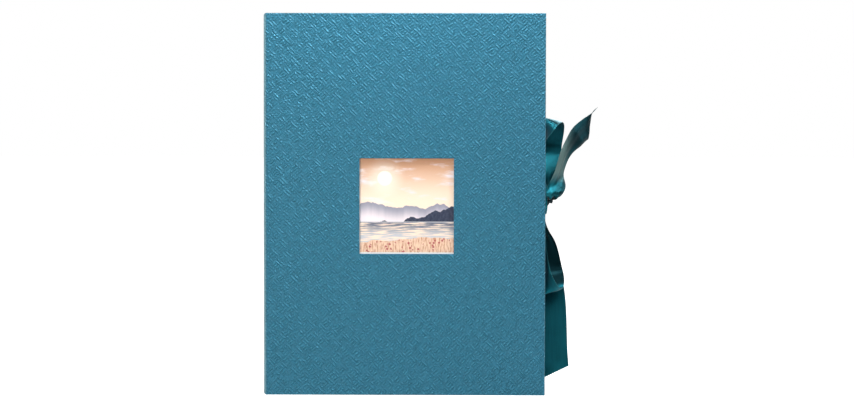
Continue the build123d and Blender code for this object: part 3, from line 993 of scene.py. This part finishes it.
def makeSatin(name, shade=1.0, paintedSheenFrom=None, hollowFrom=None):
    look = satinLook
    material, tree, shader = newMaterial(
        name,
        Metallic=look["metal"],
        Roughness=look["rough"],
        Anisotropic=look["stretch"],
        **{
            "Specular IOR Level": 0.5,
            "Anisotropic Rotation": look["quarterTurn"],
            "Sheen Weight": look["fuzz"],
            "Sheen Roughness": 0.35,
        },
    )
    place = put(tree, "UVMap", uv_map="clothMap").outputs[0]
    tangent = put(tree, "Tangent", direction_type="UV_MAP", uv_map="clothMap")
    tree.links.new(tangent.outputs[0], shader.inputs["Tangent"])
    u, v, _ = split(tree, place)
    floats = noise(tree, stretched(tree, place, (0.12, 1, 1)), 4200.0, 2.0)
    slubs = noise(tree, stretched(tree, place, (0.06, 1, 1)), 520.0, 2.0)
    tone = mixColour(tree, ramp(tree, slubs, 0.3, 0.7), look["deep"], look["sheen"])
    # shade darkens the whole tone: painted shade, used for the knots
    fleck = ramp(tree, floats, 0.3, 0.7, 0.94 * shade, 1.06 * shade)
    tone = mixColour(tree, 1.0, tone, fleck, "MULTIPLY")
    width = ribbon["width"] * mm
    fromEdge = calc(tree, "MINIMUM", v, calc(tree, "SUBTRACT", width, v))
    selvage = ramp(tree, fromEdge, 0.75 * mm, 0.45 * mm)
    tone = mixColour(tree, calc(tree, "MULTIPLY", selvage, 0.45), tone, look["selvage"])
    if paintedSheenFrom:
        along = calc(tree, "SUBTRACT", u, paintedSheenFrom)
        # painted sheen: grey-white reflection painted over the tail above the knot, narrowing to
        # its near edge further along
        beyond = calc(tree, "SUBTRACT", along, look["paintedSheenEnds"])
        reach = calc(tree, "MULTIPLY_ADD", beyond, 0.85, v)
        paintedSheen = ramp(tree, reach, 1.35 * width, 0.4 * width)
        paintedSheenStart = ramp(tree, along, *look["paintedSheenOver"], 0, 0.7)
        paintedSheen = calc(tree, "MULTIPLY", paintedSheen, paintedSheenStart)
        # painted shade: the tail darkens towards its cut end
        paintedTailDark = ramp(tree, along, *look["paintedTailShadeOver"], 1.0, look["paintedTailShade"])
        onTail = calc(tree, "GREATER_THAN", along, 0.0)
        # painted shade in the gathers where the tail leaves the knot
        gatherDark = calc(tree, "MULTIPLY", onTail, ramp(tree, along, *look["paintedGatherOver"]))
        gatherDark = ramp(tree, gatherDark, 0.0, 1.0, 1.0, look["paintedGatherShade"])
        # painted shade on the outer half of the tail's bulge
        outer = calc(tree, "MULTIPLY", onTail, ramp(tree, along, *look["paintedBulgeOver"]))
        outer = calc(tree, "MULTIPLY", outer, ramp(tree, v, 0.35 * width, 0.62 * width))
        bulgeDark = ramp(tree, outer, 0.0, 1.0, 1.0, look["paintedBulgeShade"])
        for part in (paintedTailDark, gatherDark, bulgeDark):
            tone = mixColour(tree, 1.0, tone, part, "MULTIPLY")
        tone = mixColour(tree, paintedSheen, tone, look["paintedSheen"])
    if hollowFrom:
        # painted shade inside the lower loop's hollow
        along = calc(tree, "SUBTRACT", u, hollowFrom)
        hollowDark = ramp(tree, along, *look["hollowStarts"])
        hollowDark = calc(tree, "MULTIPLY", hollowDark, ramp(tree, along, *look["hollowEnds"]))
        hollowDark = ramp(tree, hollowDark, 0.0, 1.0, 1.0, look["paintedHollowShade"])
        # painted highlight in the lower loop's bottom turn
        bottom = ramp(tree, along, *look["paintedHighlightStarts"])
        bottom = calc(tree, "MULTIPLY", bottom, ramp(tree, along, *look["paintedHighlightEnds"]))
        bottom = ramp(tree, bottom, 0.0, 1.0, 1.0, look["paintedBottomHighlight"])
        for part in (hollowDark, bottom):
            tone = mixColour(tree, 1.0, tone, part, "MULTIPLY")
    picks = calc(tree, "SINE", calc(tree, "MULTIPLY", u, 2 * math.pi / (0.5 * mm)))
    picks = calc(tree, "MULTIPLY", picks, selvage)
    height = calc(tree, "MULTIPLY_ADD", picks, 0.5, floats)
    rough = ramp(tree, slubs, 0.3, 0.7, look["rough"] - 0.04, look["rough"] + 0.05)
    rough = calc(tree, "MULTIPLY_ADD", selvage, 0.2, rough)
    finishWith(tree, shader, tone, rough, height, 0.000012)
    return material


# painted shade: the knots get a darker copy of the ribbon's satin
shadedKnotSatin = makeSatin("shadedKnotSatin", satinLook["knotPaintedShade"])
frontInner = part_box("front_board")[1].y / mm + 0.35
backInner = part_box("back_board")[0].y / mm - 0.35
ribbonPlan = {
    # name: covers' inner face, side it leaves on, loop, tail, phases, body, node
    "frontRibbon": (
        frontInner, 1, upperLoop, upperTail, (0.4, 1.9), "front_cover", "front_ribbon",
    ),
    "backRibbon": (
        backInner, -1, lowerLoop, lowerTail, (1.1, 2.6), "case", "back_ribbon",
    ),
}
ribbonPieces = {}
for name, (inner, outward, loop, tail, phases, body, node) in ribbonPlan.items():
    bands = [
        (leadIn(inner, outward), 0.9, ribbon["loopCrown"], False),
        ([edgePair(s) for s in loop], phases[0], ribbon["loopCrown"], False),
        ([edgePair(s) for s in tail], phases[1], ribbon["tailCrown"], True),
    ]
    piece, length, (_, loopFrom, tailFrom) = makeRibbon(name, bands)
    if name == "frontRibbon":
        satin = makeSatin("frontRibbonLook", paintedSheenFrom=tailFrom)
    else:
        satin = makeSatin("backRibbonLook", hollowFrom=loopFrom)
    piece.data.materials.append(satin)
    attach(piece, body)
    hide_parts(node)
    ribbonPieces[name] = (piece, length)
print("ribbons are laid")

# knot: two crossing turns of gathered ribbon on each side
knot = {
    "right": 3.7,
    "deep": 4.1,
    "turns": ((3.5, 11.0, 1.00), (3.1, -17.0, 0.95)),  # half height, slant, size
    "pleats": 4,
    "pleatDepth": 0.22,
    "round": 64,
    "tall": 28,
}


def makeKnot(name, middleY):
    mesh = bmesh.new()
    mapLayer = mesh.loops.layers.uv.new("clothMap")
    x = (ribbon["wall"] + ribbon["knotRight"]) * mm
    centre = Vector((x, middleY * mm, ribbon["height"] * mm))
    width = ribbon["width"] * mm
    for half, slant, size in knot["turns"]:
        lean = math.tan(math.radians(slant))
        rings = []
        for r in range(knot["round"]):
            turn = 2 * math.pi * r / knot["round"]
            column = []
            for t in range(knot["tall"] + 1):
                share = 2 * t / knot["tall"] - 1
                roll = 1 - 0.30 * abs(share) ** 3.2
                fold = knot["pleatDepth"] * math.sin(
                    math.pi * knot["pleats"] * share + 0.7 * math.sin(turn + slant)
                )
                right = (knot["right"] * roll * size + fold) * math.cos(turn)
                deep = (knot["deep"] * roll * size + fold) * math.sin(turn)
                up = half * share + lean * right
                column.append(
                    mesh.verts.new(centre + Vector((right, deep, up)) * mm)
                )
            rings.append(column)
        around = 2 * math.pi * knot["deep"] * mm
        for r in range(knot["round"]):
            for t in range(knot["tall"]):
                corners = ((r, t), (r + 1, t), (r + 1, t + 1), (r, t + 1))
                face = mesh.faces.new(
                    [rings[a % knot["round"]][b] for a, b in corners]
                )
                face.smooth = True
                for loop, (a, b) in zip(face.loops, corners):
                    loop[mapLayer].uv = (
                        around * a / knot["round"],
                        width * b / knot["tall"],
                    )
    data = bpy.data.meshes.new(name)
    mesh.to_mesh(data)
    mesh.free()
    piece = bpy.data.objects.new(name, data)
    bpy.context.scene.collection.objects.link(piece)
    bpy.ops.object.select_all(action="DESELECT")
    piece.select_set(True)
    bpy.context.view_layer.objects.active = piece
    wall = piece.modifiers.new("clothThickness", "SOLIDIFY")
    wall.thickness = ribbon["thickness"] * mm
    wall.offset = -1
    bpy.ops.object.modifier_apply(modifier="clothThickness")
    piece.data.materials.append(shadedKnotSatin)
    return piece


knotPlan = {
    "frontKnot": ("frontRibbon", "front_cover", 1),
    "backKnot": ("backRibbon", "case", -1),
}
for name, (owner, body, outward) in knotPlan.items():
    middleY = ribbon["middle"] - outward * (ribbon["knotSplit"] + ribbon["knotDepth"]) / 2
    piece = makeKnot(name, middleY)
    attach(piece, body)
    ribbonPiece, length = ribbonPieces[owner]
print("knot is tied")
